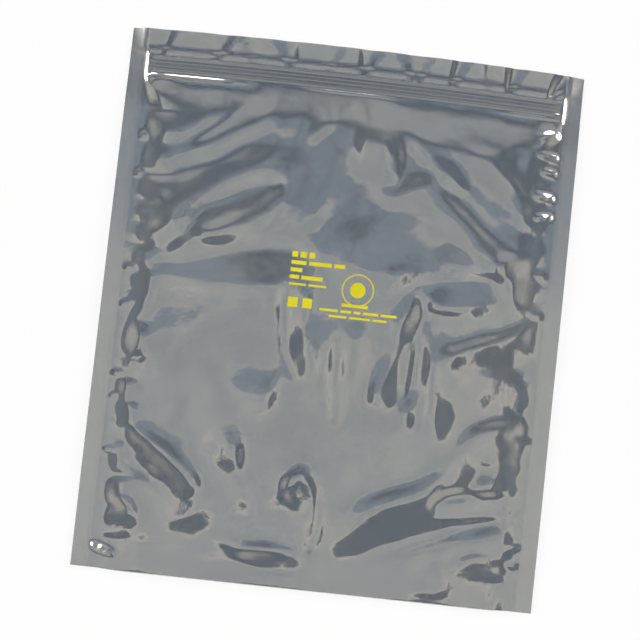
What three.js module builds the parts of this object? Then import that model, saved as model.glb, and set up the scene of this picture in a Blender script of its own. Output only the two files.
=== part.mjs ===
// A press-seal static shielding bag, lying flat, zipped shut and empty.
// Millimetres, +Z up. X runs across the bag, Y from the bottom fold to the open lip.
// The pouch is one web of metallised film: folded at the bottom, heat sealed down both sides,
// open at the lip. Two extruded strips, a rib and a groove, are welded inside below the lip.
import * as THREE from "three";

// The web and its seals
const BAG_WIDTH = 273; // across both side seals
const BAG_LENGTH = 322; // bottom fold to lip edge
const FILM = 0.08; // laminate thickness
const SEAL_WIDTH = 9.5; // each side seal
const FOLD_RADIUS = 0.9; // inside radius of the bottom fold
const FOLD_SPREAD = 12; // over this much from a seal the fold rounds out to that radius
const SLACK = 0.35; // least space left between the two walls
const BOW = 2.4; // how far the middle of the lip stands above its corners

// The press-to-close strips
const LIP_LENGTH = 17; // film above the strips
const STRIP_WIDTH = 7.2;
const STRIP_MARGIN = 0.25; // film held flat past each edge of a strip
const STRIP_BASE = 0.3; // thickness of a strip's flat base
const STRIP_SPACE = 1.5; // between the two bases when pressed shut
const STRIP_END_GAP = 0.35; // strip end to the wedge where the walls meet
const STEM_WIDTH = 0.7;
const HEAD_WIDTH = 1.4;
const HEAD_LOW = 0.2; // tip of the rib above the groove's floor
const HEAD_HIGH = 0.95; // barbs of the rib above the groove's floor
const JAW_WIDTH = 3.0; // across the outside of both jaws
const JAW_WALL = 0.6;
const JAW_HEIGHT = 1.33;
const JAW_CLEARANCE = 0.1; // around the stem, and under the jaws' hooks
const GUIDE_OFFSET = 2.7; // guide rib from the middle of a strip
const GUIDE_WIDTH = 0.35;
const GUIDE_HEIGHT = 0.3;

// The trapped air and the folds
const LOFT = 0.7; // height of the front wall above the strips' height, near a side seal
const CROWN = 2.2; // what the middle of the bag adds
const FOLD_RUN = 90; // the loft grows over this much from the bottom fold
const ZIP_RUN = 24; // and dies away over this much below the strips
const SEAL_LIFT = 1.5; // how far a side seal hangs above the ground at mid length
const SEAL_RUN = 22; // width over which the walls part from a seal
const WEDGE = 1.6; // the same at the strips: width of the wedge between seal and strip end
const WEDGE_RUN = 30; // the one passes into the other over this much below the strips
const GATHER = 1; // height of a pocket that a side seal pinches in
const GATHER_SPAN = 12; // length of a pocket with that height
const GATHER_REACH = 14; // how far in from the seal a pocket runs at most
const LIP_RISE = 2.2; // how far the lips stand off the ground
const LIP_CORNER = 12; // over this much from its corners the lip comes down
const LIP_DROP = 6; // over this much above the strips the lips come together
const FOLD_MARGIN = 10; // folds die away over this much from a seal
const FOLD_ENDS = 12; // and over this much from the bottom fold and the strips
const CREASE_TAPER = 0.35; // share of a crease's length over which each end dies away

// Where the gathers of the side seals pinch, in percent of the length.
const LEFT_PINCHES = [6, 12, 17.5, 24.5, 27.5, 31, 35.5, 39, 46, 51.5, 55, 60, 64, 68, 73, 79, 85, 91];
const RIGHT_PINCHES = [5, 15, 24.5, 32, 36, 42.5, 51.5, 57, 63.5, 69.5, 73, 78, 83, 91];

// Furrows of the lip: where each starts at the strips, in percent of the width, how it leans to the
// right, how deep it gets and how wide it spreads.
const LIP_FURROWS = [
  { place: 18.3, lean: 0.3, depth: 1.9, reach: 9 },
  { place: 35.5, lean: -0.2, depth: 1.9, reach: 9 },
  { place: 51, lean: 0.2, depth: 2.2, reach: 9 },
  { place: 63, lean: -0.1, depth: 2.1, reach: 12 },
  { place: 83.5, lean: 0.2, depth: 2, reach: 9 },
  { place: 92.3, lean: 0.6, depth: 1.9, reach: 8 },
];

// The mesh of the web
const EDGE_ROWS = 38; // rows of each wall in the gathers
const FRONT_ROWS = 47; // rows of the front wall elsewhere
const BACK_ROWS = 8;
const LIP_ROWS = 4;
const FOLD_STEPS = 6;
const MIDDLE_COLUMNS = 21;
const STRIP_STEPS = 16;

const STRIP_STACK = 2 * STRIP_BASE + STRIP_SPACE;
const ZIP_HIGH = BAG_LENGTH - LIP_LENGTH + STRIP_MARGIN;
const ZIP_LOW = BAG_LENGTH - LIP_LENGTH - STRIP_WIDTH - STRIP_MARGIN;
const POUCH_WIDTH = BAG_WIDTH - 2 * SEAL_WIDTH;

// Creases of the front wall. Each path runs in percent across and percent up. Rise is the height of
// the crest, or the depth of a furrow when negative, and left and right are how far the flanks reach.
const CREASES = [
  {
    path: [
      [3.5, 63.5], [11, 66], [18.5, 69.5], [25.5, 73.5], [33, 78.5], [36.5, 81.5],
    ],
    rise: 1.7, left: 17, right: 13,
  },
  {
    path: [
      [31.5, 91], [32.5, 88.5], [32, 86.5], [29.5, 84], [25.5, 82.5], [22, 80], [18.5, 78.5],
      [14.5, 77], [10.5, 77.5],
    ],
    rise: 1.2, left: 8, right: 9,
  },
  { path: [[14, 78.5], [18.5, 81.5], [22, 84], [26.5, 87.5], [28, 90.5]], rise: -1, left: 6, right: 4 },
  { path: [[61.5, 86], [66, 82.5], [71.5, 78.5], [77, 75]], rise: 1.2, left: 9, right: 10 },
  {
    path: [
      [61.5, 86], [68, 84], [73.5, 83], [78, 80.5], [82.5, 77.5], [88, 74], [91.5, 71],
      [96.5, 67.5],
    ],
    rise: 1.6, left: 11, right: 10,
  },
  { path: [[60.5, 86], [60.5, 81], [60, 74]], rise: 1.1, left: 5, right: 14 },
  {
    path: [
      [55, 75.5], [58, 74], [59.5, 73.5], [62.5, 73.5], [67.5, 76], [69.5, 75.5], [75, 71.5],
      [82.5, 66.5], [88, 63.5],
    ],
    rise: 1.3, left: 8, right: 12,
  },
  { path: [[43, 62], [55, 59.5], [64, 60], [73.5, 62]], rise: 1.6, left: 38, right: 15 },
  {
    path: [
      [80, 47.5], [77, 44.5], [77.5, 42], [79, 39.5], [82.5, 37.5], [85, 35.5], [85.5, 33.5],
    ],
    rise: 1.3, left: 9, right: 14,
  },
  { path: [[74.5, 51], [73, 43.5], [73, 39], [75, 31], [77, 27]], rise: 1.1, left: 12, right: 8 },
  { path: [[51.5, 50], [52.5, 39], [54, 27]], rise: -1, left: 6, right: 5 },
  { path: [[29.5, 28.5], [31.5, 24], [33.5, 20], [36.5, 14.5], [37, 11.5]], rise: 1, left: 6, right: 9 },
  {
    path: [
      [4.5, 24.5], [9, 26.5], [14, 24], [21, 20.5], [24.5, 17], [25.5, 13], [22, 11], [15.5, 9.5],
    ],
    rise: 1.2, left: 12, right: 9,
  },
  { path: [[4.5, 14], [10.5, 12.5], [14.5, 9], [13, 5.5], [12.5, 3.5]], rise: 1.2, left: 9, right: 9 },
  { path: [[83, 21.5], [87, 22], [92.5, 23]], rise: 1, left: 6, right: 6 },
  { path: [[85, 26.5], [90, 27.5], [96, 27]], rise: 1.2, left: 7, right: 7 },
  { path: [[3, 69.5], [16.5, 63], [31, 62.5], [44, 64.5]], rise: 1, left: 30, right: 30 },
  { path: [[68, 64.5], [79, 62], [91.5, 62.5], [98, 66]], rise: 1, left: 25, right: 30 },
];

// Facets of the front wall: an outline in the same percents, the slope that the film leans by
// inside it, to the right and up the bag, and the width of the skirt round it.
const FACETS = [
  {
    outline: [
      [20.5, 63.5], [22.5, 68.5], [29.5, 72], [35.5, 72.5], [33.5, 69], [30, 66], [25.5, 64.5],
    ],
    lean: [0, -0.09],
    skirt: 6,
  },
  {
    outline: [
      [39.5, 80], [41, 84], [43.5, 86.5], [47, 85.5], [48.5, 80.5], [45.5, 78], [42, 78],
    ],
    lean: [0, -0.045],
    skirt: 5,
  },
  {
    outline: [
      [4.5, 81], [9, 80.5], [14.5, 83], [20, 86], [27, 90], [22, 90.5], [11, 90.5], [4.5, 89.5],
    ],
    lean: [0, -0.063],
    skirt: 7,
  },
  {
    outline: [
      [58.5, 91], [61, 88.5], [66, 86], [73.5, 84], [81.5, 83.5], [86.5, 86.5], [87, 90],
      [73.5, 91],
    ],
    lean: [0, -0.054],
    skirt: 7,
  },
  {
    outline: [
      [64.5, 85], [72.5, 82], [81.5, 77], [85.5, 74], [83, 74], [76, 77.5], [69.5, 81],
    ],
    lean: [-0.072, -0.072],
    skirt: 7,
  },
  {
    outline: [
      [68, 75.5], [73.5, 74], [79, 70], [88, 64], [83, 65], [75.5, 69.5], [70.5, 73],
    ],
    lean: [-0.054, -0.081],
    skirt: 7,
  },
  {
    outline: [
      [87, 64], [86, 61.5], [87, 59], [90, 57], [96, 57], [99, 60.5], [96, 64],
    ],
    lean: [-0.108, 0],
    skirt: 5,
  },
  {
    outline: [
      [96.5, 52], [88, 49], [81.5, 47], [77.5, 45], [85, 45.5], [91.5, 45], [96.5, 44],
    ],
    lean: [-0.072, 0.153],
    skirt: 6,
  },
  {
    outline: [
      [80, 44], [78.5, 41.5], [80, 39], [83, 37], [86.5, 35.5], [91.5, 36], [96, 37], [96, 42],
      [89.5, 44], [84, 44.5],
    ],
    lean: [-0.054, 0.027],
    skirt: 6,
  },
  {
    outline: [
      [76, 35.5], [80.5, 35.5], [85.5, 34], [81.5, 31.5], [77.5, 29.5],
    ],
    lean: [-0.108, 0.054],
    skirt: 5,
  },
  {
    outline: [
      [12, 55.5], [22, 58], [31, 60.5], [39.5, 61.5], [43, 59], [39.5, 56], [33, 54.5], [22, 54],
    ],
    lean: [0, -0.108],
    skirt: 7,
  },
  {
    outline: [
      [40.5, 53.5], [43, 53.5], [44.5, 48], [46, 42], [46, 39.5], [44, 39], [42, 42], [40.5, 48],
    ],
    lean: [0.153, 0.027],
    skirt: 5,
  },
  {
    outline: [
      [68, 54], [69.5, 52.5], [68.5, 48], [69, 43.5], [68, 37], [64, 36], [62, 37], [63.5, 41.5],
      [65, 45.5], [65.5, 50],
    ],
    lean: [-0.171, 0],
    skirt: 6,
  },
  {
    outline: [
      [68.5, 45.5], [70.5, 45], [71.5, 39], [70.5, 33.5], [68.5, 33], [68, 39],
    ],
    lean: [-0.144, 0],
    skirt: 4,
  },
  {
    outline: [
      [72, 54.5], [74.5, 58.5], [80.5, 60], [85.5, 59], [85, 56.5], [79, 54.5],
    ],
    lean: [-0.027, -0.108],
    skirt: 5,
  },
  {
    outline: [
      [35, 39], [39, 38], [43, 37], [45, 33.5], [42, 31], [37.5, 31], [36, 33.5], [34, 36.5],
    ],
    lean: [0.153, 0.171],
    skirt: 5,
  },
  {
    outline: [
      [29.5, 32], [33.5, 30.5], [37.5, 28], [42, 25.5], [40, 21.5], [36, 20.5], [33, 24],
      [30.5, 28],
    ],
    lean: [0.144, 0.171],
    skirt: 6,
  },
  {
    outline: [
      [8, 25], [13, 23.5], [19, 21], [24, 17], [20.5, 16], [15.5, 18.5], [10.5, 21.5],
    ],
    lean: [0.108, 0.108],
    skirt: 6,
  },
  { outline: [[37, 6.5], [47, 6.5], [48.5, 4], [43, 3], [38, 3.5]], lean: [0, 0.126], skirt: 4 },
  {
    outline: [
      [45.5, 18.5], [47.5, 20.5], [50.5, 18.5], [51.5, 14], [50.5, 8.5], [48.5, 11], [48, 15],
    ],
    lean: [-0.153, 0.018],
    skirt: 5,
  },
  {
    outline: [
      [59, 8], [60, 12], [64.5, 16], [72.5, 19], [78.5, 21.5], [83, 22], [88.5, 20.5], [91, 18.5],
      [88, 16.5], [81.5, 14.5], [74.5, 12.5], [68, 10.5],
    ],
    lean: [-0.072, 0.126],
    skirt: 9,
  },
  {
    outline: [
      [78, 21], [81.5, 26.5], [84.5, 31], [90.5, 32.5], [99, 32], [99, 29.5], [90, 29], [85.5, 26],
      [83.5, 22],
    ],
    lean: [-0.054, 0.135],
    skirt: 7,
  },
  {
    outline: [
      [77, 18.5], [81.5, 20], [88, 20], [92.5, 18.5], [89.5, 17.5], [83.5, 16.5], [78.5, 17],
    ],
    lean: [0.072, -0.117],
    skirt: 4,
  },
  {
    outline: [
      [83, 6.5], [86.5, 8.5], [91.5, 8.5], [94.5, 6.5], [91.5, 5], [86.5, 5],
    ],
    lean: [-0.045, 0.108],
    skirt: 4,
  },
  {
    outline: [
      [3.5, 57], [7.5, 56.5], [10, 53.5], [9.5, 49.5], [6.5, 47], [3.5, 46.5],
    ],
    lean: [0.108, 0],
    skirt: 5,
  },
  { outline: [[3, 46], [7.5, 45.5], [9, 42.5], [7.5, 39.5], [3, 39]], lean: [0.117, 0], skirt: 4 },
];

const smooth = (t) => {
  const c = THREE.MathUtils.clamp(t, 0, 1);
  return c * c * (3 - 2 * c);
};

const softFloor = (value, least) => least + 0.5 * (value - least + Math.hypot(value - least, 0.3));

// Distance in from the nearer side seal's inner edge.
const inset = (x) => POUCH_WIDTH / 2 - Math.abs(x);

// Turns percents into points along a smooth curve.
function trace(path, closed, count) {
  const corners = path.map(
    ([across, up]) =>
      new THREE.Vector3(((across - 50) / 100) * BAG_WIDTH, (up / 100) * BAG_LENGTH, 0),
  );
  return new THREE.CatmullRomCurve3(corners, closed).getSpacedPoints(count);
}

const creases = CREASES.map((crease) => ({ ...crease, points: trace(crease.path, false, 24) }));

const facets = FACETS.map((facet) => {
  const points = trace(facet.outline, true, 32);
  const middle = points.slice(1).reduce((sum, point) => sum.add(point), new THREE.Vector3());
  return { ...facet, points, middle: middle.divideScalar(points.length - 1) };
});

// The point of a line nearest to a place: how far away, how far along, and on which side.
function nearest(points, x, up) {
  const best = { away: Infinity, along: 0, side: 0 };
  for (let i = 0; i + 1 < points.length; i += 1) {
    const a = points[i];
    const dx = points[i + 1].x - a.x;
    const dy = points[i + 1].y - a.y;
    const t = THREE.MathUtils.clamp(((x - a.x) * dx + (up - a.y) * dy) / (dx * dx + dy * dy), 0, 1);
    const away = Math.hypot(x - a.x - t * dx, up - a.y - t * dy);
    if (away < best.away) {
      best.away = away;
      best.along = (i + t) / (points.length - 1);
      best.side = dx * (up - a.y) - dy * (x - a.x);
    }
  }
  return best;
}

// Height that one crease adds at a point of the web.
function creaseHeight({ points, rise, left, right }, x, up) {
  const { away, along, side } = nearest(points, x, up);
  const reach = side > 0 ? left : right;
  const taper = smooth(along / CREASE_TAPER) * smooth((1 - along) / CREASE_TAPER);
  return rise * taper * Math.max(0, 1 - away / reach);
}

// Height that one facet adds: its lean inside its outline, which dies away across the skirt.
function facetHeight({ points, middle, lean, skirt }, x, up) {
  let inside = false;
  for (let i = 0; i + 1 < points.length; i += 1) {
    const a = points[i];
    const b = points[i + 1];
    const crosses = a.y > up !== b.y > up;
    if (crosses && x < a.x + ((b.x - a.x) * (up - a.y)) / (b.y - a.y)) inside = !inside;
  }
  const share = inside ? 1 : Math.max(0, 1 - nearest(points, x, up).away / skirt);
  return share * (lean[0] * (x - middle.x) + lean[1] * (up - middle.y));
}

// How strongly the loft holds at a height up the bag: none at the fold and at the strips.
const bodyShare = (up) => smooth(up / FOLD_RUN) * smooth((ZIP_LOW - up) / ZIP_RUN);

// Pockets that run in from the side seals.
function gather(x, up) {
  const pinches = (x < 0 ? LEFT_PINCHES : RIGHT_PINCHES).map((pinch) => (pinch / 100) * BAG_LENGTH);
  const next = pinches.findIndex((pinch) => pinch >= up);
  if (next < 1) return 0;
  const span = pinches[next] - pinches[next - 1];
  const height = Math.sin((Math.PI * (up - pinches[next - 1])) / span);
  const reach = inset(x) / Math.min(span, GATHER_REACH);
  const share = smooth(reach / 0.6) * smooth((2 - reach) / 1.4);
  return GATHER * Math.min(span / GATHER_SPAN, 1.4) * (Math.max(0, height) ** 0.75 - 0.35) * share;
}

// Middle height of a side seal.
function sealHeight(up) {
  const flat = FILM + STRIP_STACK / 2;
  return flat + SEAL_LIFT * bodyShare(up) * (0.8 + 0.2 * Math.sin(up / 24));
}

// Rise of both lips, less the furrows that run up from the strips.
function lipWave(x, up) {
  const share = THREE.MathUtils.clamp((up - ZIP_HIGH) / (BAG_LENGTH - ZIP_HIGH), 0, 1);
  const rise = LIP_RISE * smooth(share) * smooth((BAG_WIDTH / 2 - Math.abs(x)) / LIP_CORNER);
  const furrows = LIP_FURROWS.map(({ place, lean, depth, reach }) => {
    const away = Math.abs(x - (place / 100 - 0.5) * BAG_WIDTH - lean * (up - ZIP_HIGH));
    return depth * smooth(2 * share) * Math.max(0, 1 - away / (reach * (0.35 + 0.65 * share)));
  });
  return Math.max(0, rise - furrows.reduce((sum, depth) => sum + depth, 0));
}

// How far in from a seal the two walls take to part.
function partingWidth(up) {
  const share = smooth((up - ZIP_LOW + WEDGE_RUN) / WEDGE_RUN);
  return THREE.MathUtils.lerp(SEAL_RUN, WEDGE, share);
}

// Inner face of the back wall.
function backInner(x, up) {
  const parted = smooth(inset(x) / partingWidth(up));
  return THREE.MathUtils.lerp(sealHeight(up), FILM, parted) + lipWave(x, up);
}

const foldRadius = (x) => FOLD_RADIUS * smooth(inset(x) / FOLD_SPREAD);

// Space between the inner faces of the two walls.
function space(x, up) {
  const deep = inset(x);
  if (deep <= 0) return 0;
  const dome = 1 - (1 - deep / (POUCH_WIDTH / 2)) ** 2;
  const loft = (LOFT + CROWN * dome) * bodyShare(up);
  const closed = up <= ZIP_HIGH
    ? THREE.MathUtils.lerp(2 * foldRadius(x), STRIP_STACK, smooth(up / ZIP_LOW))
    : THREE.MathUtils.lerp(STRIP_STACK, SLACK, smooth((up - ZIP_HIGH) / LIP_DROP));
  const creased = creases.reduce((sum, crease) => sum + creaseHeight(crease, x, up), 0);
  const leaning = facets.reduce((sum, facet) => sum + facetHeight(facet, x, up), 0);
  const folds = (creased + leaning) * smooth(deep / FOLD_MARGIN) + gather(x, up);
  const free = closed + loft + folds * smooth((ZIP_LOW - up) / FOLD_ENDS) * smooth(up / FOLD_ENDS);
  const held = up >= ZIP_LOW && up <= ZIP_HIGH;
  return (held ? closed : softFloor(free, SLACK)) * smooth(deep / partingWidth(up));
}

const sheetY = (x, up) =>
  up - BAG_LENGTH / 2 + BOW * (1 - ((2 * x) / BAG_WIDTH) ** 2) * (up / BAG_LENGTH) ** 2;

// One column of the web, from the front lip down, round the fold and up to the back lip.
function column(x, frontRows, backRows) {
  const radius = foldRadius(x);
  const start = radius + FILM;
  const step = (BAG_LENGTH - ZIP_HIGH) / LIP_ROWS;
  const lip = Array.from({ length: LIP_ROWS + 1 }, (_, j) => ZIP_HIGH + step * j);
  const ups = (rows) => {
    const body = Array.from({ length: rows }, (_, j) => start + ((ZIP_LOW - start) * j) / rows);
    return [...body, ZIP_LOW, ...lip];
  };
  const frontUps = ups(frontRows);
  const backUps = ups(backRows);
  const faces = (layer) => {
    const offset = layer === "outer" ? FILM : 0;
    const front = frontUps.map((up) => [x, sheetY(x, up), frontInner(x, up, radius) + offset]);
    const back = backUps.map((up) => [x, sheetY(x, up), backInner(x, up) - offset]);
    const middle = (front[0][2] + back[0][2]) / 2;
    const half = (front[0][2] - back[0][2]) / 2;
    const bend = Array.from({ length: FOLD_STEPS - 1 }, (_, k) => {
      const angle = (Math.PI * (k + 1)) / FOLD_STEPS;
      return [x, front[0][1] - half * Math.sin(angle), middle + half * Math.cos(angle)];
    });
    return [...front.reverse(), ...bend, ...back];
  };
  const along = [
    ...frontUps.map((up) => -up).reverse(),
    ...Array.from({ length: FOLD_STEPS - 1 }, (_, k) => start * ((2 * (k + 1)) / FOLD_STEPS - 1)),
    ...backUps,
  ];
  return { along, outer: faces("outer"), inner: faces("inner"), count: frontUps.length };
}

function frontInner(x, up, radius) {
  const gap = up <= radius + FILM ? 2 * radius : space(x, up);
  return backInner(x, up) + gap;
}

// Stations across the web: seal edge, seal, then steps that widen away from the gathers.
function stations() {
  const half = POUCH_WIDTH / 2;
  const near = [0, WEDGE, 4.5, 8.5, 14, 22];
  const inner = half - near[near.length - 1];
  const middle = Array.from({ length: MIDDLE_COLUMNS - 1 }, (_, i) => ({
    x: -inner + (2 * inner * (i + 1)) / MIDDLE_COLUMNS,
    front: FRONT_ROWS,
    back: BACK_ROWS,
  }));
  const side = near.map((deep, i) => ({
    x: half - deep,
    front: i < 4 ? EDGE_ROWS : FRONT_ROWS,
    back: i < 4 ? EDGE_ROWS : BACK_ROWS,
  }));
  const left = side.map((station) => ({ ...station, x: -station.x }));
  const edge = { x: BAG_WIDTH / 2, front: EDGE_ROWS, back: EDGE_ROWS };
  return [{ ...edge, x: -edge.x }, ...left, ...middle, ...side.reverse(), edge];
}

// A closed surface put together from named points.
class Shell {
  positions = [];
  faces = [];
  add(point) {
    this.positions.push(...point);
    return this.positions.length / 3 - 1;
  }
  face(a, b, c) {
    if (a !== b && b !== c && a !== c) this.faces.push(a, b, c);
  }
  // Joins two neighbouring columns whose points may be spaced differently.
  stitch(left, right, outward) {
    let a = 0;
    let b = 0;
    while (a < left.ids.length - 1 || b < right.ids.length - 1) {
      const leftNext = a < left.ids.length - 1 ? left.along[a + 1] : Infinity;
      const rightNext = b < right.ids.length - 1 ? right.along[b + 1] : Infinity;
      const corners = leftNext <= rightNext
        ? [left.ids[a], left.ids[a + 1], right.ids[b]]
        : [left.ids[a], right.ids[b + 1], right.ids[b]];
      if (leftNext <= rightNext) a += 1;
      else b += 1;
      if (outward) this.face(...corners);
      else this.face(corners[0], corners[2], corners[1]);
    }
  }
  geometry() {
    const made = new THREE.BufferGeometry();
    made.setAttribute("position", new THREE.Float32BufferAttribute(this.positions, 3));
    made.setIndex(this.faces);
    made.computeVertexNormals();
    return made;
  }
}

// The folded and sealed web as one closed skin.
function filmPouch() {
  const shell = new Shell();
  const columns = stations().map(({ x, front, back }) => ({ x, ...column(x, front, back) }));
  const last = columns.length - 1;
  const outer = columns.map(({ along, outer: points }) => ({ along, ids: points.map((p) => shell.add(p)) }));
  const inner = columns.map(({ x, along, inner: points, count }, i) => {
    if (i === 0 || i === last) return null;
    if (inset(x) > 1e-6) return { along, ids: points.map((p) => shell.add(p)) };
    // Where the walls meet at a seal, front and back share their points.
    const back = points.slice(points.length - count).map((p) => shell.add(p));
    const bend = Array.from({ length: FOLD_STEPS - 1 }, () => back[0]);
    return { along, ids: [...[...back].reverse(), ...bend, ...back] };
  });
  for (let i = 0; i < last; i += 1) shell.stitch(outer[i], outer[i + 1], true);
  for (let i = 1; i < last - 1; i += 1) shell.stitch(inner[i], inner[i + 1], false);
  sealEdge(shell, outer[0].ids, columns[0].count, false);
  sealEdge(shell, outer[last].ids, columns[last].count, true);
  for (const end of [0, 1]) lipRim(shell, outer, inner, end);
  return shell.geometry();
}

// The cut edge of a side seal, front film to back film.
function sealEdge(shell, ids, count, right) {
  const total = ids.length;
  for (let k = 0; k < Math.floor((total - 1) / 2); k += 1) {
    const quad = [ids[k], ids[k + 1], ids[total - 2 - k], ids[total - 1 - k]];
    const turn = right ? [0, 1, 2, 3] : [0, 3, 2, 1];
    const [a, b, c, d] = turn.map((n) => quad[n]);
    shell.face(a, b, c);
    shell.face(a, c, d);
  }
}

// The cut edge of one lip, and its share of the sealed corners.
function lipRim(shell, outer, inner, end) {
  const pick = (ids) => ids[end === 0 ? 0 : ids.length - 1];
  const add = (a, b, c) => (end === 0 ? shell.face(a, b, c) : shell.face(a, c, b));
  const last = outer.length - 1;
  for (let i = 1; i < last - 1; i += 1) {
    const [a, b] = [pick(outer[i].ids), pick(outer[i + 1].ids)];
    const [c, d] = [pick(inner[i + 1].ids), pick(inner[i].ids)];
    add(a, b, c);
    add(a, c, d);
  }
  for (const [edge, seam] of [[0, 1], [last, last - 1]]) {
    const corner = [pick(outer[edge].ids), pick(outer[seam].ids), pick(inner[seam].ids)];
    if (edge === 0) add(...corner);
    else add(corner[0], corner[2], corner[1]);
  }
  if (end === 0) {
    for (const [edge, seam, flip] of [[0, 1, false], [last, last - 1, true]]) {
      const front = outer[edge].ids[0];
      const back = outer[edge].ids[outer[edge].ids.length - 1];
      const middle = pick(inner[seam].ids);
      if (flip) shell.face(front, back, middle);
      else shell.face(front, middle, back);
    }
  }
}

// A strip's section, [across, height] round its outline, swept along the bowed zip line.
function stripGeometry(section) {
  const half = POUCH_WIDTH / 2 - WEDGE - STRIP_END_GAP;
  const middle = (ZIP_LOW + ZIP_HIGH) / 2;
  const shape = new THREE.Shape(section.map(([across, height]) => new THREE.Vector2(across, height)));
  const made = new THREE.ExtrudeGeometry(shape, { depth: 2 * half, steps: STRIP_STEPS, bevelEnabled: false });
  made.deleteAttribute("normal");
  made.deleteAttribute("uv");
  const place = made.getAttribute("position");
  for (let i = 0; i < place.count; i += 1) {
    const x = place.getZ(i) - half;
    const across = place.getX(i);
    place.setXYZ(i, x, sheetY(x, middle + across), place.getY(i));
  }
  made.computeVertexNormals();
  return made;
}

const mirrored = (half) => [...half, ...half.map(([across, height]) => [-across, height]).reverse()];

// Rib strip, welded to the front wall: barbed rib hanging down, and a guide rib on each side.
function ribSection() {
  const base = FILM + STRIP_BASE + STRIP_SPACE;
  const floor = FILM + STRIP_BASE;
  return mirrored([
    [STRIP_WIDTH / 2, base + STRIP_BASE],
    [STRIP_WIDTH / 2, base],
    [GUIDE_OFFSET + GUIDE_WIDTH / 2, base],
    [GUIDE_OFFSET, base - GUIDE_HEIGHT],
    [GUIDE_OFFSET - GUIDE_WIDTH / 2, base],
    [STEM_WIDTH / 2, base],
    [STEM_WIDTH / 2, floor + HEAD_HIGH],
    [HEAD_WIDTH / 2, floor + HEAD_HIGH - 0.1],
    [HEAD_WIDTH / 4, floor + HEAD_LOW],
  ]);
}

// Groove strip, welded to the back wall: two hooked jaws that close over the rib.
function grooveSection() {
  const floor = FILM + STRIP_BASE;
  const hook = STEM_WIDTH / 2 + JAW_CLEARANCE;
  const inside = JAW_WIDTH / 2 - JAW_WALL;
  return mirrored([
    [0.2, floor],
    [inside, floor],
    [inside, floor + HEAD_HIGH],
    [hook, floor + HEAD_HIGH + JAW_CLEARANCE],
    [hook, floor + JAW_HEIGHT - 0.15],
    [hook + 0.3, floor + JAW_HEIGHT],
    [JAW_WIDTH / 2, floor + JAW_HEIGHT - 0.35],
    [JAW_WIDTH / 2, floor],
    [GUIDE_OFFSET - GUIDE_WIDTH / 2, floor],
    [GUIDE_OFFSET, floor + GUIDE_HEIGHT],
    [GUIDE_OFFSET + GUIDE_WIDTH / 2, floor],
    [STRIP_WIDTH / 2, floor],
    [STRIP_WIDTH / 2, FILM],
  ]);
}

const material = (color, roughness, metalness) =>
  new THREE.MeshStandardMaterial({ color, roughness, metalness, side: THREE.DoubleSide });

function piece(name, geometry, finish) {
  const mesh = new THREE.Mesh(geometry, finish);
  mesh.name = name;
  return mesh;
}

const shieldingFilm = material(0x868b8f, 0.18, 0.9);
const stripPlastic = material(0xb9bcbc, 0.4, 0);

const bag = new THREE.Group();
bag.add(
  piece("film_pouch", filmPouch(), shieldingFilm),
  piece("zip_rib_strip", stripGeometry(ribSection()), stripPlastic),
  piece("zip_groove_strip", stripGeometry(grooveSection()), stripPlastic),
);

// The origin lies on the ground, below the middle of the bag's box.
const box = new THREE.Box3().setFromObject(bag);
bag.position.set(-(box.min.x + box.max.x) / 2, -(box.min.y + box.max.y) / 2, -box.min.z);

export default bag;
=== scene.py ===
"""Looks of a metallised static shielding bag, lying flat and zipped shut, around its CAD frame."""

import math

import bpy
import numpy as np
from bpy.props import FloatProperty, FloatVectorProperty, PointerProperty
from mathutils import Euler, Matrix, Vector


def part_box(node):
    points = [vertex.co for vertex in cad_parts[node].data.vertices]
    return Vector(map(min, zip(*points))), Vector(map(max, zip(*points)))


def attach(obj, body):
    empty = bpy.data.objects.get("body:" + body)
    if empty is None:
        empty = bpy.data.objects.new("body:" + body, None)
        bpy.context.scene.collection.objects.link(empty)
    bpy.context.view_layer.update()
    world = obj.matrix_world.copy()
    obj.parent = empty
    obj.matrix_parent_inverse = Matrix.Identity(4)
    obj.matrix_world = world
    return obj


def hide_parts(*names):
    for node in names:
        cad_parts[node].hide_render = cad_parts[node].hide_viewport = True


bl_info = {
    "name": "Static shielding bag",
    "version": (1, 0, 0),
    "blender": (4, 5, 0),
    "location": "View3D > Sidebar > Film bag",
    "description": "Makes the film web, zip and print of a static shielding bag and its stage",
    "category": "Object",
}

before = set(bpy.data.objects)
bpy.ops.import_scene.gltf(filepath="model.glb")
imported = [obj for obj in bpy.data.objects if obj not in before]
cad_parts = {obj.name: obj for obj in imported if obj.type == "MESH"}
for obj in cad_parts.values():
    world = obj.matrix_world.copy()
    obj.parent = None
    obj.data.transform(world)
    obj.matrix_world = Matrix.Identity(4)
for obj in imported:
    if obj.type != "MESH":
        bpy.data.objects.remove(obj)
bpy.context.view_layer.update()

MM = 0.001
POUCH_LOW, POUCH_HIGH = (np.array(corner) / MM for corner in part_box("film_pouch"))
RIB_HIGH = np.array(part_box("zip_rib_strip")[1]) / MM

# Creases of the front wall. Each path runs in percent of the bag's width from its left edge and of
# its length from the bottom fold. Rise is the height of the crest, or the depth of a furrow when it
# is negative, and left and right are how far the flanks reach, all in millimetres.
CREASES = []


def crease(path, rise, left, right, taper=0.35):
    CREASES.append(dict(path=path, rise=rise, left=left, right=right, taper=taper))


# Facets of the front wall: an outline in the same percents, the slope that the film leans by inside
# it, to the right and up the bag, and the width of the skirt round it, in millimetres.
FACETS = []


def facet(outline, lean, skirt):
    FACETS.append(dict(outline=outline, lean=lean, skirt=skirt))


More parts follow.
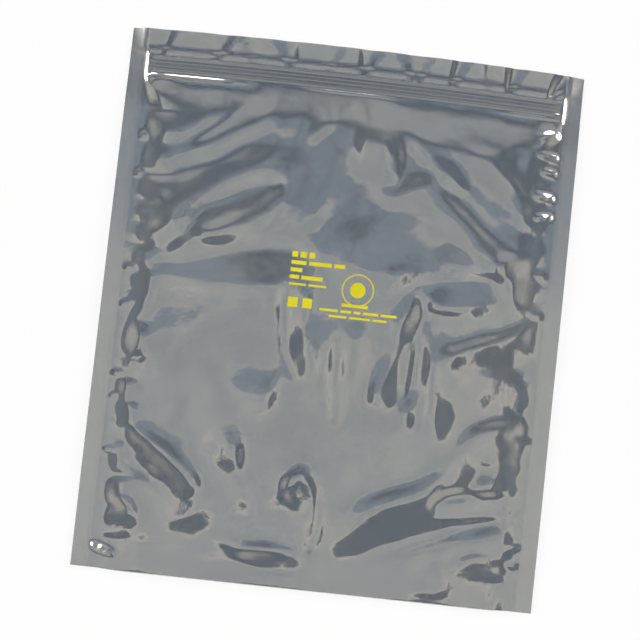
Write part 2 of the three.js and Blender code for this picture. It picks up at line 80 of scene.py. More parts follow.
crease([(3.7, 63.7), (11, 65.8), (18.3, 69.7), (25.6, 73.6), (33, 78.7), (36.6, 81.7)], 1.7, 17, 13)
crease([(3.7, 73.3), (11, 73.4), (18.3, 76), (25.6, 79.3), (32.2, 83.5), (34.8, 84.4)], -0.9, 8, 6)
crease(
    [
        (31.5, 91), (32.6, 88.6), (31.9, 86.5), (29.3, 84.1), (25.6, 82.3), (22, 79.9), (18.3, 78.4),
        (14.7, 77.2), (10.3, 77.5),
    ],
    1.2, 8, 9,
)
crease([(13.9, 78.7), (18.3, 81.7), (22, 84.1), (26.4, 87.7), (27.8, 90.7)], -1, 6, 4)
crease([(5.5, 60.4), (11, 63.1), (18.3, 66.7)], 0.8, 7, 6)
crease([(10.3, 57.1), (14.7, 59.2), (18.3, 61), (25.6, 64.6), (33, 69.1)], 0.9, 6, 8)
crease([(32.2, 64), (33.7, 68.5), (35.9, 71.5), (37.4, 75.7)], 0.9, 6, 5)
crease([(38.5, 64.6), (43.2, 67.6), (46.2, 73.6), (47.6, 81.1)], 0.9, 8, 7)
facet(
    [(20.5, 63.7), (22.7, 68.5), (29.3, 72.1), (35.5, 72.7), (33.7, 69.1), (30, 66.1), (25.6, 64.3)],
    (0, -0.09), 6,
)
crease([(41, 80.5), (42.1, 83.2), (45.1, 85.6), (48, 86.5)], 0.9, 5, 5)
crease([(50.5, 82.3), (54.9, 82.9), (60.8, 82.3)], 1.9, 26, 26)
facet(
    [(4.4, 81.1), (8.8, 80.5), (14.7, 82.9), (20.1, 85.9), (27.1, 90.1), (22, 90.7), (11, 90.4), (4.4, 89.5)],
    (0, -0.063), 7,
)
facet(
    [
        (58.6, 91), (60.8, 88.3), (65.9, 86.2), (73.3, 83.8), (81.3, 83.5), (86.4, 86.5), (87.2, 90.1),
        (73.3, 91),
    ],
    (0, -0.054), 7,
)
crease([(61.5, 85.9), (65.9, 82.6), (71.4, 78.7), (76.9, 75.1)], 1.2, 9, 10)
crease(
    [
        (61.5, 86.2), (67.8, 84.1), (73.3, 82.9), (78, 80.5), (82.4, 77.5), (87.9, 73.9), (91.6, 70.9),
        (96.3, 67.6),
    ],
    1.6, 11, 10,
)
crease([(75.1, 83.2), (80.6, 82), (87.9, 77.8), (90.5, 77.5)], 0.9, 7, 6)
crease([(60.4, 86.2), (60.4, 81.1), (60.1, 74.2)], 1.1, 5, 14)
crease(
    [
        (54.9, 75.7), (57.9, 73.9), (59.7, 73.4), (62.3, 73.7), (67.4, 76.1), (69.6, 75.4), (75.1, 71.5),
        (82.4, 66.4), (87.9, 63.7),
    ],
    1.3, 8, 12,
)
facet(
    [(64.5, 85), (72.5, 82), (81.3, 77.2), (85.7, 73.9), (82.8, 73.9), (76.2, 77.5), (69.6, 81.1)],
    (-0.072, -0.072), 7,
)
facet(
    [(68.1, 75.7), (73.3, 73.9), (79.1, 70), (87.9, 64), (82.8, 64.9), (75.5, 69.7), (70.3, 73)],
    (-0.054, -0.081), 7,
)
crease([(43.2, 61.9), (54.9, 59.5), (64.1, 60.1), (73.3, 61.9)], 1.6, 38, 15)
facet(
    [(87.2, 64), (86.1, 61.6), (87.2, 58.9), (90.1, 57.1), (96, 56.8), (98.9, 60.4), (96, 64)],
    (-0.108, 0), 5,
)
facet(
    [(96.7, 52), (87.9, 48.9), (81.3, 46.8), (77.3, 45), (85, 45.3), (91.6, 45), (96.7, 43.8)],
    (-0.072, 0.153), 6,
)
crease(
    [(79.9, 47.4), (76.9, 44.4), (77.7, 42), (79.1, 39.6), (82.4, 37.5), (85, 35.7), (85.7, 33.3)],
    0.7, 9, 9,
)
crease([(74.4, 51.1), (72.9, 43.5), (72.9, 39), (75.1, 30.9), (76.9, 27)], 1.5, 12, 9)
facet(
    [(12.1, 55.3), (22, 58), (31.1, 60.7), (39.6, 61.3), (43.2, 58.9), (39.6, 56.2), (33, 54.7), (22, 54.1)],
    (0, -0.108), 7,
)
facet(
    [(40.3, 53.5), (43.2, 53.5), (44.3, 48), (46.2, 42), (45.8, 39.3), (44, 39), (41.8, 42), (40.3, 48)],
    (0.153, 0.027), 5,
)
crease([(51.3, 50.2), (52.4, 39), (53.8, 27)], -1, 6, 5)
crease([(56, 51.1), (55.7, 45), (56.4, 33.6)], 0.8, 8, 8)
facet(
    [
        (67.8, 54.1), (69.6, 52.3), (68.5, 48), (68.9, 43.5), (67.8, 37.2), (64.1, 36), (61.9, 36.9),
        (63.7, 41.4), (65.2, 45.6), (65.6, 49.8),
    ],
    (-0.171, 0), 6,
)
facet([(68.5, 45.6), (70.7, 45), (71.4, 39), (70.7, 33.3), (68.5, 33), (68.1, 39)], (-0.144, 0), 4)
facet([(72.2, 54.7), (74.7, 58.3), (80.6, 59.8), (85.7, 59.2), (85, 56.5), (79.1, 54.7)], (-0.027, -0.108), 5)
crease([(64.1, 60.1), (59.7, 54.1)], 0.7, 7, 7)
crease([(69.6, 57.1), (65.9, 51.7), (63, 47.4)], 0.8, 7, 7)
crease([(34.4, 27.6), (36.3, 31.8), (37.7, 35.4), (40.3, 40.2)], 1.7, 24, 8, taper=0.5)
crease([(31.5, 18), (32.2, 22.8), (31.5, 27), (30, 31.8)], 1.4, 24, 7, taper=0.5)
crease([(29.3, 28.5), (31.5, 24), (33.7, 19.8), (36.3, 14.4), (37, 11.4)], 1, 6, 9)
crease(
    [(4.4, 24.6), (9.2, 26.7), (13.9, 24), (20.9, 20.4), (24.5, 17.1), (25.6, 13.2), (22, 10.8), (15.4, 9.6)],
    1.2, 12, 9,
)
facet(
    [(8.1, 25.2), (13.2, 23.7), (19, 21), (23.8, 17.1), (20.5, 16.2), (15.4, 18.6), (10.3, 21.6)],
    (0.108, 0.108), 6,
)
crease([(7.3, 20.4), (11.7, 18.9), (16.5, 17.4)], -0.8, 5, 5)
crease([(4.4, 13.8), (10.3, 12.3), (14.3, 9), (13.2, 5.4), (12.5, 3.6)], 1.2, 9, 9)
facet([(5.1, 12.9), (10.3, 12.3), (11.4, 9.6), (7.3, 8.4), (5.1, 9.9)], (0.108, 0.108), 4)
facet([(37, 6.3), (46.9, 6.3), (48.7, 4.2), (43.2, 3), (38.1, 3.6)], (0, 0.126), 4)
crease([(30, 8.1), (36.6, 6.9), (46.9, 6.9)], 0.8, 6, 6)
crease([(43.2, 14.4), (44.3, 18.9), (46.9, 21), (49.8, 18.6), (50.5, 14.4), (50.2, 7.2)], 0.8, 7, 5)
facet(
    [(45.4, 18.6), (47.6, 20.7), (50.5, 18.6), (51.6, 13.8), (50.5, 8.4), (48.7, 10.8), (48, 15)],
    (-0.153, 0.018), 5,
)
facet(
    [
        (59, 8.1), (60.1, 12), (64.5, 16.2), (72.5, 18.9), (78.4, 21.3), (83.2, 22.2), (88.3, 20.4),
        (91.2, 18.6), (87.9, 16.5), (81.3, 14.7), (74.7, 12.6), (68.1, 10.5),
    ],
    (-0.072, 0.126), 9,
)
facet(
    [
        (78, 21), (81.3, 26.4), (84.6, 31.2), (90.5, 32.7), (98.9, 32.1), (98.9, 29.4), (90.1, 28.8),
        (85.7, 25.8), (83.5, 22.2),
    ],
    (-0.054, 0.135), 7,
)
facet(
    [(76.9, 18.3), (81.3, 19.8), (87.9, 19.8), (92.3, 18.6), (89.4, 17.4), (83.5, 16.5), (78.4, 16.8)],
    (0.072, -0.117), 4,
)
crease([(82.8, 21.6), (87.2, 22.2), (92.3, 22.8)], 1, 6, 6)
crease([(85, 26.4), (90.1, 27.3), (96, 27)], 1.2, 7, 7)
crease([(79.9, 9), (79.5, 6), (80.2, 3.6), (78.8, 1.8), (73.3, 1.5)], 0.8, 6, 6)
facet([(82.8, 6.6), (86.4, 8.7), (91.6, 8.4), (94.5, 6.6), (91.6, 5.1), (86.4, 5.1)], (-0.045, 0.108), 4)
facet([(3.3, 57.1), (7.3, 56.5), (9.9, 53.5), (9.5, 49.5), (6.6, 46.8), (3.3, 46.5)], (0.108, 0), 5)
facet([(2.9, 45.9), (7.3, 45.6), (9.2, 42.6), (7.3, 39.3), (2.9, 39)], (0.117, 0), 4)
facet([(2.9, 35.4), (6.2, 35.4), (7, 33), (5.9, 31.2), (2.9, 31.2)], (0.126, 0.045), 4)
facet([(3.3, 30.9), (7.3, 30.9), (9.2, 29.1), (7, 27), (3.3, 27)], (0.108, 0.054), 4)
crease([(2.9, 69.7), (16.5, 63.1), (31.1, 62.5), (44, 64.3)], 1, 30, 30)
crease([(67.8, 64.6), (78.8, 61.9), (91.6, 62.5), (98.2, 66.1)], 1, 25, 30)
crease([(22, 6), (27.5, 18), (25.6, 33)], 0.8, 30, 30)
crease([(54.9, 27), (67.8, 30), (73.3, 25.5)], 0.8, 30, 30)
crease([(34.8, 81.1), (35.9, 90.1)], 0.7, 10, 14)
crease([(52.4, 78.7), (53.5, 90.7)], 0.8, 12, 14)

# Lengths across and along the front wall, in millimetres: how far it lifts off the back wall all
# over and at mid width, the half height of the bottom fold, and how far the lift takes to grow
# from the fold, from the zip and from a side seal.
LOFT = 0.7
CROWN = 2.2
FOLD_RADIUS = 0.9
FOLD_SPREAD = 12.0
FOLD_RUN = 90.0
ZIP_RUN = 24.0
SEAL_RUN = 22.0
SEAL_LIFT = 1.5
SEAL_WAVE = 24.0

# Beside the zip the walls part over a shorter run. Slack is the least space between them.
WEDGE = 1.6
WEDGE_RUN = 30.0
STRIP_MARGIN = 0.25
SLACK = 0.35
ROUNDING = 0.3
WALL_GAP = 0.012

# Folds fade out over these lengths before the zip and the bottom fold, and before a side seal.
FOLD_ENDS = 12.0
FOLD_MARGIN = 10.0

# How round a crest, a foot and a facet's rim are, where flanks and skirts end, and how far the
# pieces of a bent path blend.
CREST_ROUND = 1.2
CREASE_FOOT = 0.35
CREASE_END = 2.2
RIM_ROUND = 0.8
SKIRT_FOOT = 0.25
SKIRT_END = 1.6
PATH_BLEND = 2.5
CURVE_STEPS = 16
FOLD_STEPS = 8

# The lip rises in a step near the zip and then evenly, with furrows and a dart at each furrow's foot.
LIP_RISE = 2.2
LIP_STEP = 0.6
LIP_STEP_END = 0.35
LIP_SLOPE = 0.9
LIP_CORNER = 12.0
LIP_DEPTH = 0.55
LIP_DROP = 8.0
LIP_DART = 0.45
DART_SPREAD = 0.8
DART_REACH = 6.5

# Furrows of the lip: where each starts at the zip, in percent of the width, how it leans to the
# right, how deep it gets and how wide it spreads, in millimetres.
LIP_FURROWS = (
    (6.5, 0.2, 1.2, 7), (18.3, 0.3, 1.9, 9), (27.5, -0.3, 0.8, 8), (35.5, -0.2, 1.9, 9),
    (43, 0.3, 0.9, 7), (51, 0.2, 2.2, 9), (63, -0.1, 2.1, 12), (70.7, 0.3, 1.9, 6),
    (79, 0.0, 1.0, 5), (83.5, 0.2, 2.0, 7), (92.3, 0.6, 1.9, 8),
)

# Pockets at the side seals: the side, how far they bulge, how far in they reach at most, and the
# pinch lines between them, in percent of the length.
SIDE_GATHERS = (
    (-1, 1.6, 14.0, (6, 12, 17.5, 24.5, 27.5, 31, 35.5, 39, 46, 48, 51.5, 55, 60, 64, 68, 73, 79, 85, 91)),
    (1, 1.2, 10.0, (
        5, 8.5, 15, 18.5, 24.5, 27.5, 32, 36, 42.5, 45, 51.5, 54.5, 57, 63.5, 69.5, 73, 75, 78, 80.5, 83,
        85, 91,
    )),
)
POCKET_LENGTH = 12.0
POCKET_PINCH = 0.35

# Ridges at the side seals: side, height up the bag in percent, lean, reach and height.
PUCKERS = (
    (1, 88.5, -0.1, 17, 1.65), (1, 84.3, 0.1, 16, 1.65), (1, 81.3, 0.1, 12, 1.4), (1, 76.6, 0.15, 16, 1.65),
    (1, 73.3, -0.1, 15, 1.6), (1, 62.0, 0.1, 12, 0.6), (1, 54.5, 0.1, 12, 0.6), (1, 31.5, 0.1, 12, 0.6),
    (1, 12.0, -0.1, 11, 0.7), (1, 8.5, 0.1, 10, 0.6), (-1, 91.0, 0.1, 9, 1.0), (-1, 80.0, 0.1, 8, 0.8),
    (-1, 73.0, 0.1, 8, 0.8), (-1, 55.5, -0.1, 11, 0.7), (-1, 48.5, 0.1, 11, 0.6), (-1, 36.0, -0.1, 11, 0.7),
    (-1, 31.5, 0.1, 9, 0.5), (-1, 4.6, -0.3, 18, 2.4), (-1, 22.0, -0.1, 10, 0.6),
)
PUCKER_SPREAD = 1.8
PUCKER_START = 4.0

# Crumpled film at both ends of the zip: its height, and how far in from the seal it reaches.
CRUMPLE = 0.5
CRUMPLE_REACH = 9.0

# Lines over the zip: place from its middle, height, spread, and the part of the width, in percent.
ZIP_LINES = (
    (3.7, 0.26, 0.6, -10, 110), (1.6, 0.14, 0.5, -10, 110), (-0.6, 0.16, 0.5, -10, 110),
    (-3.6, 0.31, 0.6, -10, 110), (-7.0, 0.72, 0.9, 2, 27), (-6.4, 0.4, 0.8, 36, 62), (-6.4, 0.4, 0.8, 80, 97),
)
LINE_FADE = 8.0

# Line beside the bottom fold: its place, height and spread, and where it ends across the bag.
FOLD_LINE = (4.2, 0.09, 0.8)
FOLD_LINE_END = -0.2
FOLD_LINE_FADE = 40.0

# Waves of the loose film: height, direction in radians and length.
SWAYS = ((0.24, 0.9, 9.0), (0.20, 2.2, 8.0), (0.11, 0.3, 5.0), (0.08, 1.9, 4.2), (0.04, 2.7, 2.4))

# Level of the floor, in metres, and how far it is lifted to white where it is seen or mirrored.
FLOOR_LEVEL = -0.00005
FLOOR_WHITE = 0.86


def smooth(t):
    t = np.clip(t, 0, 1)
    return t * t * (3 - 2 * t)


def soft_floor(value, floor=0.0):
    """The value, rounded off where it would fall below the floor."""
    over = value - floor
    return floor + 0.5 * (over + np.hypot(over, ROUNDING))


def curve(points, count=40):
    """Points on a Catmull-Rom curve through the given ones: evenly spaced, or as drawn at count 0."""
    p = np.array(points, float)
    p = np.vstack([2 * p[0] - p[1], p, 2 * p[-1] - p[-2]])
    t = np.linspace(0, 1, CURVE_STEPS, endpoint=False)[:, None]
    spans = [
        0.5 * (2 * b + (c - a) * t + (2 * a - 5 * b + 4 * c - d) * t**2 + (3 * b - a - 3 * c + d) * t**3)
        for a, b, c, d in zip(p, p[1:], p[2:], p[3:])
    ]
    line = np.vstack(spans + [p[-2][None]])
    if not count:
        return line
    run = np.r_[0, np.cumsum(np.linalg.norm(np.diff(line, axis=0), axis=1))]
    even = np.linspace(0, run[-1], count)
    return np.stack([np.interp(even, run, line[:, axis]) for axis in (0, 1)], 1)


class Web:
    """The film web's sizes and surfaces in millimetres, from the frame and the film settings."""

    def __init__(self, film):
        self.film = film.thickness / MM
        self.bow = film.bow / MM
        self.depth = film.crease_depth
        self.width = POUCH_HIGH[0] - POUCH_LOW[0]
        self.length = POUCH_HIGH[1] - POUCH_LOW[1] - self.bow
        self.foot = POUCH_LOW[1]
        self.half = self.width / 2 - film.seal_width / MM
        high = RIB_HIGH[1] - self.foot
        for _ in range(4):
            high = RIB_HIGH[1] - self.foot - self.bow * (high / self.length) ** 2
        self.zip_high = high + STRIP_MARGIN
        self.zip_low = high - film.strip_width / MM - STRIP_MARGIN
        self.stack = RIB_HIGH[2] - self.film

    def inset(self, x):
        return self.half - np.abs(x)

    def y(self, x, up):
        bow = self.bow * (1 - (2 * x / self.width) ** 2) * (up / self.length) ** 2
        return self.foot + up + bow

    def body(self, up):
        return smooth(up / FOLD_RUN) * smooth((self.zip_low - up) / ZIP_RUN)

    def creases(self, x, up):
        total = np.zeros(x.shape)
        for c in CREASES:
            total += self.one_crease(x, up, **c)
        return total

    def one_crease(self, x, up, path, rise, left, right, taper):
        line = curve([((a / 100 - 0.5) * self.width, b / 100 * self.length) for a, b in path])
        reach = CREASE_END * max(left, right)
        low, high = line.min(0) - reach, line.max(0) + reach
        near = (x > low[0]) & (x < high[0]) & (up > low[1]) & (up < high[1])
        px, py = x[near], up[near]
        run = np.diff(line, axis=0)[:, :, None]
        off = np.stack([px, py]) - line[:-1, :, None]
        t = np.clip((off * run).sum(1) / (run**2).sum(1), 0, 1)
        gap = np.hypot(*(off - t[:, None] * run).transpose(1, 0, 2))
        away = gap.min(0)
        weight = np.exp((away - gap) / PATH_BLEND)
        weight /= weight.sum(0)
        across = (run[:, 0] * off[:, 1] - run[:, 1] * off[:, 0]) / np.hypot(run[:, 0], run[:, 1])
        side = (weight * across).sum(0)
        share = (weight * (np.arange(len(t))[:, None] + t)).sum(0) / len(t)
        width = right + (left - right) * (0.5 + 0.5 * np.tanh(side / 3))
        grow = smooth(share / taper) * smooth((1 - share) / taper)
        q = (np.hypot(away, CREST_ROUND) - CREST_ROUND) / (width * (0.4 + 0.6 * grow))
        flank = (1 - q + np.hypot(1 - q, CREASE_FOOT)) / (1 + math.hypot(1, CREASE_FOOT))
        out = np.zeros(x.shape)
        out[near] = rise * grow * flank * smooth((CREASE_END - q) / 0.8)
        return out

    def facets(self, x, up):
        total = np.zeros(x.shape)
        for facet in FACETS:
            total += self.one_facet(x, up, **facet)
        return total

    def one_facet(self, x, up, outline, lean, skirt):
        closed = np.array([((a / 100 - 0.5) * self.width, b / 100 * self.length) for a, b in outline])
        count = len(closed)
        around = curve(np.vstack([closed[-1:], closed, closed[:2]]), 0)
        line = around[CURVE_STEPS : CURVE_STEPS * (count + 1) + 1 : 4]
        low, high = line.min(0) - SKIRT_END * skirt, line.max(0) + SKIRT_END * skirt
        near = (x > low[0]) & (x < high[0]) & (up > low[1]) & (up < high[1])
        px, py = x[near], up[near]
        away = np.full(px.shape, 1e9)
        inside = np.zeros(px.shape, bool)
        for a, b in zip(line, line[1:]):
            run = b - a
            t = np.clip(((px - a[0]) * run[0] + (py - a[1]) * run[1]) / (run @ run), 0, 1)
            away = np.minimum(away, np.hypot(px - a[0] - t * run[0], py - a[1] - t * run[1]))
            crosses = (a[1] > py) != (b[1] > py)
            inside ^= crosses & (px < a[0] + run[0] * (py - a[1]) / (run[1] if run[1] else 1e-9))
        q = (np.hypot(np.where(inside, 0, away), RIM_ROUND) - RIM_ROUND) / skirt
        share = (1 - q + np.hypot(1 - q, SKIRT_FOOT)) / (1 + math.hypot(1, SKIRT_FOOT))
        share *= smooth((SKIRT_END - q) / 0.6)
        middle = closed.mean(0)
        out = np.zeros(x.shape)
        out[near] = (lean[0] * (px - middle[0]) + lean[1] * (py - middle[1])) * share
        return out

    def gathers(self, x, up):
        """Pockets that the side seals pinch into the front wall."""
        total = np.zeros(x.shape)
        for side, rise, longest, pinches in SIDE_GATHERS:
            edges = np.array(pinches) / 100 * self.length
            cell = np.clip(np.searchsorted(edges, up) - 1, 0, len(edges) - 2)
            size = edges[cell + 1] - edges[cell]
            arch = np.sin(np.pi * np.clip((up - edges[cell]) / size, 0, 1)) ** 0.75 - POCKET_PINCH
            deep = np.where(np.sign(x) == side, self.inset(x), -1)
            q = np.clip(deep / np.clip(size * 0.85, 4, longest), 0, 3)
            reach = smooth(q / 0.6) * smooth((2 - q) / 1.4)
            total += np.where(deep > 0, rise * np.clip(size / POCKET_LENGTH, 0.3, 1.4) * arch * reach, 0)
        return total

    def lip_wave(self, x, up):
        """Rise of both lips, less the furrows that fan out from a dart at the zip."""
        above = up - self.zip_high
        share = np.clip(above / (self.length - self.zip_high), 0, 1)
        climb = LIP_STEP * smooth(share / LIP_STEP_END) + LIP_SLOPE * share
        height = LIP_RISE * climb * smooth((self.width / 2 - np.abs(x)) / LIP_CORNER)
        for place, lean, depth, reach in LIP_FURROWS:
            away = np.abs(x - (place / 100 - 0.5) * self.width - lean * above)
            q = np.clip(away / (reach * (0.25 + 0.95 * share)), 0, 1)
            height -= LIP_DEPTH * depth * smooth(share / 0.5) * (0.5 + 0.5 * np.cos(np.pi * q))
            dart = np.exp(-((away / DART_SPREAD) ** 2)) * smooth(above / 1.5)
            height -= LIP_DART * depth * dart * smooth((DART_REACH - above) / 4)
        return soft_floor(height) - ROUNDING / 2 * smooth(share / 0.2)

    def wedge(self, up):
        """How far in from a seal the two walls take to part."""
        return SEAL_RUN + (WEDGE - SEAL_RUN) * smooth((up - self.zip_low + WEDGE_RUN) / WEDGE_RUN)

    def seal_height(self, up):
        lift = SEAL_LIFT * self.body(up) * (0.8 + 0.2 * np.sin(up / SEAL_WAVE))
        return self.film + self.stack / 2 + lift

    def back(self, x, up):
        """Inner face of the back wall."""
        parted = smooth(self.inset(x) / self.wedge(up))
        seal = self.seal_height(up)
        return seal + (self.film - seal) * parted + self.lip_wave(x, up)

    def front(self, x, up):
        """Inner face of the front wall."""
        deep = np.clip(self.inset(x), 0, None)
        dome = 1 - (1 - deep / self.half) ** 2
        loft = (LOFT + CROWN * dome) * self.body(up)
        fold = 2 * FOLD_RADIUS * smooth(deep / FOLD_SPREAD)
        low = fold + (self.stack - fold) * smooth(up / self.zip_low)
        high = self.stack + (SLACK - self.stack) * smooth((up - self.zip_high) / LIP_DROP)
        closed = np.where(up < self.zip_low, low, high)
        inside = smooth((self.zip_low - up) / FOLD_ENDS) * smooth(up / FOLD_ENDS)
        folds = self.depth * (self.creases(x, up) + self.facets(x, up)) * smooth(deep / FOLD_MARGIN)
        free = closed + loft + (folds + self.gathers(x, up)) * inside
        gap = soft_floor(free, SLACK) + self.sway(x, up) * inside
        pressed = self.emboss(x, up) + self.puckers(x, up) + self.crumple(x, up)
        return self.back(x, up) + gap * smooth(deep / self.wedge(up)) + pressed

    def sway(self, x, up):
        """Gentle unevenness of the loose film."""
        return sum(
            height * np.sin((x * math.cos(turn) + up * math.sin(turn)) / length + 3 * turn)
            for height, turn, length in SWAYS
        )

    def emboss(self, x, up):
        """Lines that the zip strips press into the film over them."""
        middle = (self.zip_low + self.zip_high) / 2
        across = x / self.width * 100 + 50
        total = np.zeros(x.shape)
        for offset, height, spread, left, right in ZIP_LINES:
            part = smooth((across - left) / LINE_FADE) * smooth((right - across) / LINE_FADE)
            total += height * part * np.exp(-(((up - middle - offset) / spread) ** 2))
        place, height, spread = FOLD_LINE
        part = smooth((up - 1) / 2) * smooth((FOLD_LINE_END * self.width - x) / FOLD_LINE_FADE)
        total += height * part * np.exp(-(((up - place) / spread) ** 2))
        return total * smooth(self.inset(x) / WEDGE)

    def puckers(self, x, up):
        """Short sharp ridges that run in from the side seals."""
        total = np.zeros(x.shape)
        for side, place, lean, reach, height in PUCKERS:
            deep = np.where(np.sign(x) == side, self.inset(x), -1)
            away = up - place / 100 * self.length - lean * deep
            ends = smooth(deep / PUCKER_START) * smooth((reach - deep) / (0.5 * reach))
            total += height * np.exp(-((away / PUCKER_SPREAD) ** 2)) * ends
        return total

    def crumple(self, x, up):
        """Small dents beside both ends of the zip."""
        deep = self.inset(x)
        beside = smooth(deep) * smooth((CRUMPLE_REACH - deep) / 6)
        beside = beside * smooth((up - self.zip_low + 7) / 3) * smooth((self.zip_high + 3 - up) / 3)
        dents = (0.5 + 0.5 * np.sin(2.4 * up + 0.8 * x)) * (0.6 + 0.4 * np.sin(1.3 * x))
        return CRUMPLE * beside * dents


def stations(stops):
    """Points from stop to stop, where each stop is a place and the step that leads away from it."""
    out = []
    for (start, gap), (end, _) in zip(stops, stops[1:]):
        out.extend(np.linspace(start, end, max(1, round((end - start) / gap)), endpoint=False))
    return np.array(out + [stops[-1][0]])


def mesh_object(name, points, faces, materials, smooth_shaded=True):
    mesh = bpy.data.meshes.new(name)
    mesh.from_pydata(points.tolist(), [], faces.tolist())
    mesh.update()
    mesh.polygons.foreach_set("use_smooth", [smooth_shaded] * len(mesh.polygons))
    mesh.set_sharp_from_angle(angle=math.radians(50))
    for material in materials:
        mesh.materials.append(material)
    made = bpy.data.objects.new(name, mesh)
    bpy.context.collection.objects.link(made)
    return made


def web_rows(web):
    """Places up the bag of the rows: down the front wall from its lip, and up the back wall."""
    fold = FOLD_RADIUS + web.film
    front = stations([
        (fold, 1.5), (web.zip_low - 5, 0.45), (web.zip_high + 6, 1.0), (web.length, 1),
    ])
    back = stations([
        (fold, 2.5), (18, 6.5), (web.zip_low - 30, 4), (web.zip_low, 3.5), (web.zip_high, 3), (web.length, 1),
    ])
    return front[::-1], back


def web_grid(web):
    """Middle surface of the film, as an array of rows of points."""
    half = web.width / 2
    across = stations([
        (-half, 3.2), (-web.half, 0.8), (-web.half + 3, 1.3), (-web.half + 20, 2.05),
        (web.half - 20, 1.3), (web.half - 3, 0.8), (web.half, 3.2), (half, 1),
    ])
    front_ups, back_ups = web_rows(web)
    x, up = np.meshgrid(across, front_ups)
    front = np.stack([x, web.y(x, up), web.front(x, up) + web.film / 2 + WALL_GAP], -1)
    x, up = np.meshgrid(across, back_ups)
    back = np.stack([x, web.y(x, up), web.back(x, up) - web.film / 2 - WALL_GAP], -1)
    top, base = front[-1], back[0]
    middle, reach = (top[:, 2] + base[:, 2]) / 2, (top[:, 2] - base[:, 2]) / 2
    bend = []
    for angle in np.linspace(0, np.pi, FOLD_STEPS + 1)[1:-1]:
        bend.append(
            np.stack([top[:, 0], top[:, 1] - reach * np.sin(angle), middle + reach * np.cos(angle)], -1)
        )
    grid = np.concatenate([front, np.array(bend), back])
    grid[..., 2] = np.maximum(grid[..., 2], web.film / 2)
    seal = np.clip((np.abs(across) - web.half) / 0.6 + 0.5, 0, 1)
    return grid, np.repeat(seal[None], len(grid), 0)


def grid_normals(grid):
    run = np.cross(np.gradient(grid, axis=1), -np.gradient(grid, axis=0))
    return run / np.linalg.norm(run, axis=-1, keepdims=True)


def slab(grid, thickness):
    """A closed thin sheet about a grid: its points and its faces."""
    rows, columns = grid.shape[:2]
    normals = grid_normals(grid)
    points = np.concatenate([grid + normals * thickness / 2, grid - normals * thickness / 2]).reshape(-1, 3)
    index = np.arange(rows * columns).reshape(rows, columns)
    outer = np.stack([index[1:, :-1], index[1:, 1:], index[:-1, 1:], index[:-1, :-1]], -1).reshape(-1, 4)
    under = rows * columns
    inner = outer[:, ::-1] + under
    loop = np.concatenate([index[0, :-1], index[:-1, -1], index[-1, :0:-1], index[:0:-1, 0]])
    after = np.roll(loop, -1)
    rim = np.stack([loop, after, after + under, loop + under], -1)
    return points, np.concatenate([outer, inner, rim])


class Nodes:
    """Short forms for building a material, a world or a geometry tree."""

    def __init__(self, tree):
        self.tree = tree

    def make(self, kind, inputs=None, **settings):
        node = self.tree.nodes.new(kind)
        for key, value in settings.items():
            setattr(node, key, value)
        for key, value in (inputs or {}).items():
            self.feed(node.inputs[key], value)
        return node

    def feed(self, socket, value):
        if isinstance(value, bpy.types.NodeSocket):
            self.tree.links.new(value, socket)
        else:
            socket.default_value = value

    def math(self, operation, *values):
        node = self.make("ShaderNodeMath", operation=operation)
        for socket, value in zip(node.inputs, values):
            self.feed(socket, value)
        return node.outputs[0]

    def ramp(self, value, low, high, to_low=0.0, to_high=1.0):
        node = self.make("ShaderNodeMapRange", interpolation_type="SMOOTHSTEP")
        for key, item in zip(
            ("Value", "From Min", "From Max", "To Min", "To Max"), (value, low, high, to_low, to_high),
        ):
            self.feed(node.inputs[key], item)
        return node.outputs["Result"]

    def blend(self, factor, first, second):
        node = self.make("ShaderNodeMix", data_type="RGBA")
        for key, item in ((0, factor), (6, first), (7, second)):
            self.feed(node.inputs[key], item)
        return node.outputs[2]


def surface(name):
    """A new material with a lone Principled shader: (material, Nodes, shader)."""
    material = bpy.data.materials.new(name)
    material.use_nodes = True
    nodes = Nodes(material.node_tree)
    return material, nodes, material.node_tree.nodes["Principled BSDF"]


def rgba(colour):
    return (*colour[:3], 1.0)


def film_material(film):
    material, n, shader = surface("metallised_film")
    place = n.make("ShaderNodeTexCoord").outputs["Object"]
    seal = n.make("ShaderNodeAttribute", attribute_name="seal").outputs["Fac"]
    cloud = n.make("ShaderNodeTexNoise", {"Vector": place, "Scale": 14.0, "Detail": 3.0}).outputs["Fac"]
    speck = n.make("ShaderNodeTexNoise", {"Vector": place, "Scale": 900.0, "Detail": 2.0}).outputs["Fac"]
    crinkle = n.make("ShaderNodeTexNoise", {"Vector": place, "Scale": 160.0, "Detail": 4.0}).outputs["Fac"]
    tone = n.blend(n.ramp(cloud, 0.3, 0.7), rgba(film.tint), rgba(film.tint_light))
    tone = n.blend(seal, tone, rgba(film.seal_tint))
    n.feed(shader.inputs["Base Color"], tone)
    shader.inputs["Metallic"].default_value = 1.0
    shader.inputs["Alpha"].default_value = film.face_alpha
    rough = n.math("ADD", film.roughness, n.math("MULTIPLY", n.ramp(speck, 0.45, 0.7), 0.03))
    n.feed(shader.inputs["Roughness"], n.math("ADD", rough, n.math("MULTIPLY", seal, 0.16)))
    height = n.math("MULTIPLY", crinkle, n.ramp(seal, 0.0, 1.0, 1.0, 0.3))
    bump = n.make("ShaderNodeBump", {"Height": height, "Strength": 1.0, "Distance": film.crinkle})
    n.feed(shader.inputs["Normal"], bump.outputs["Normal"])
    return material


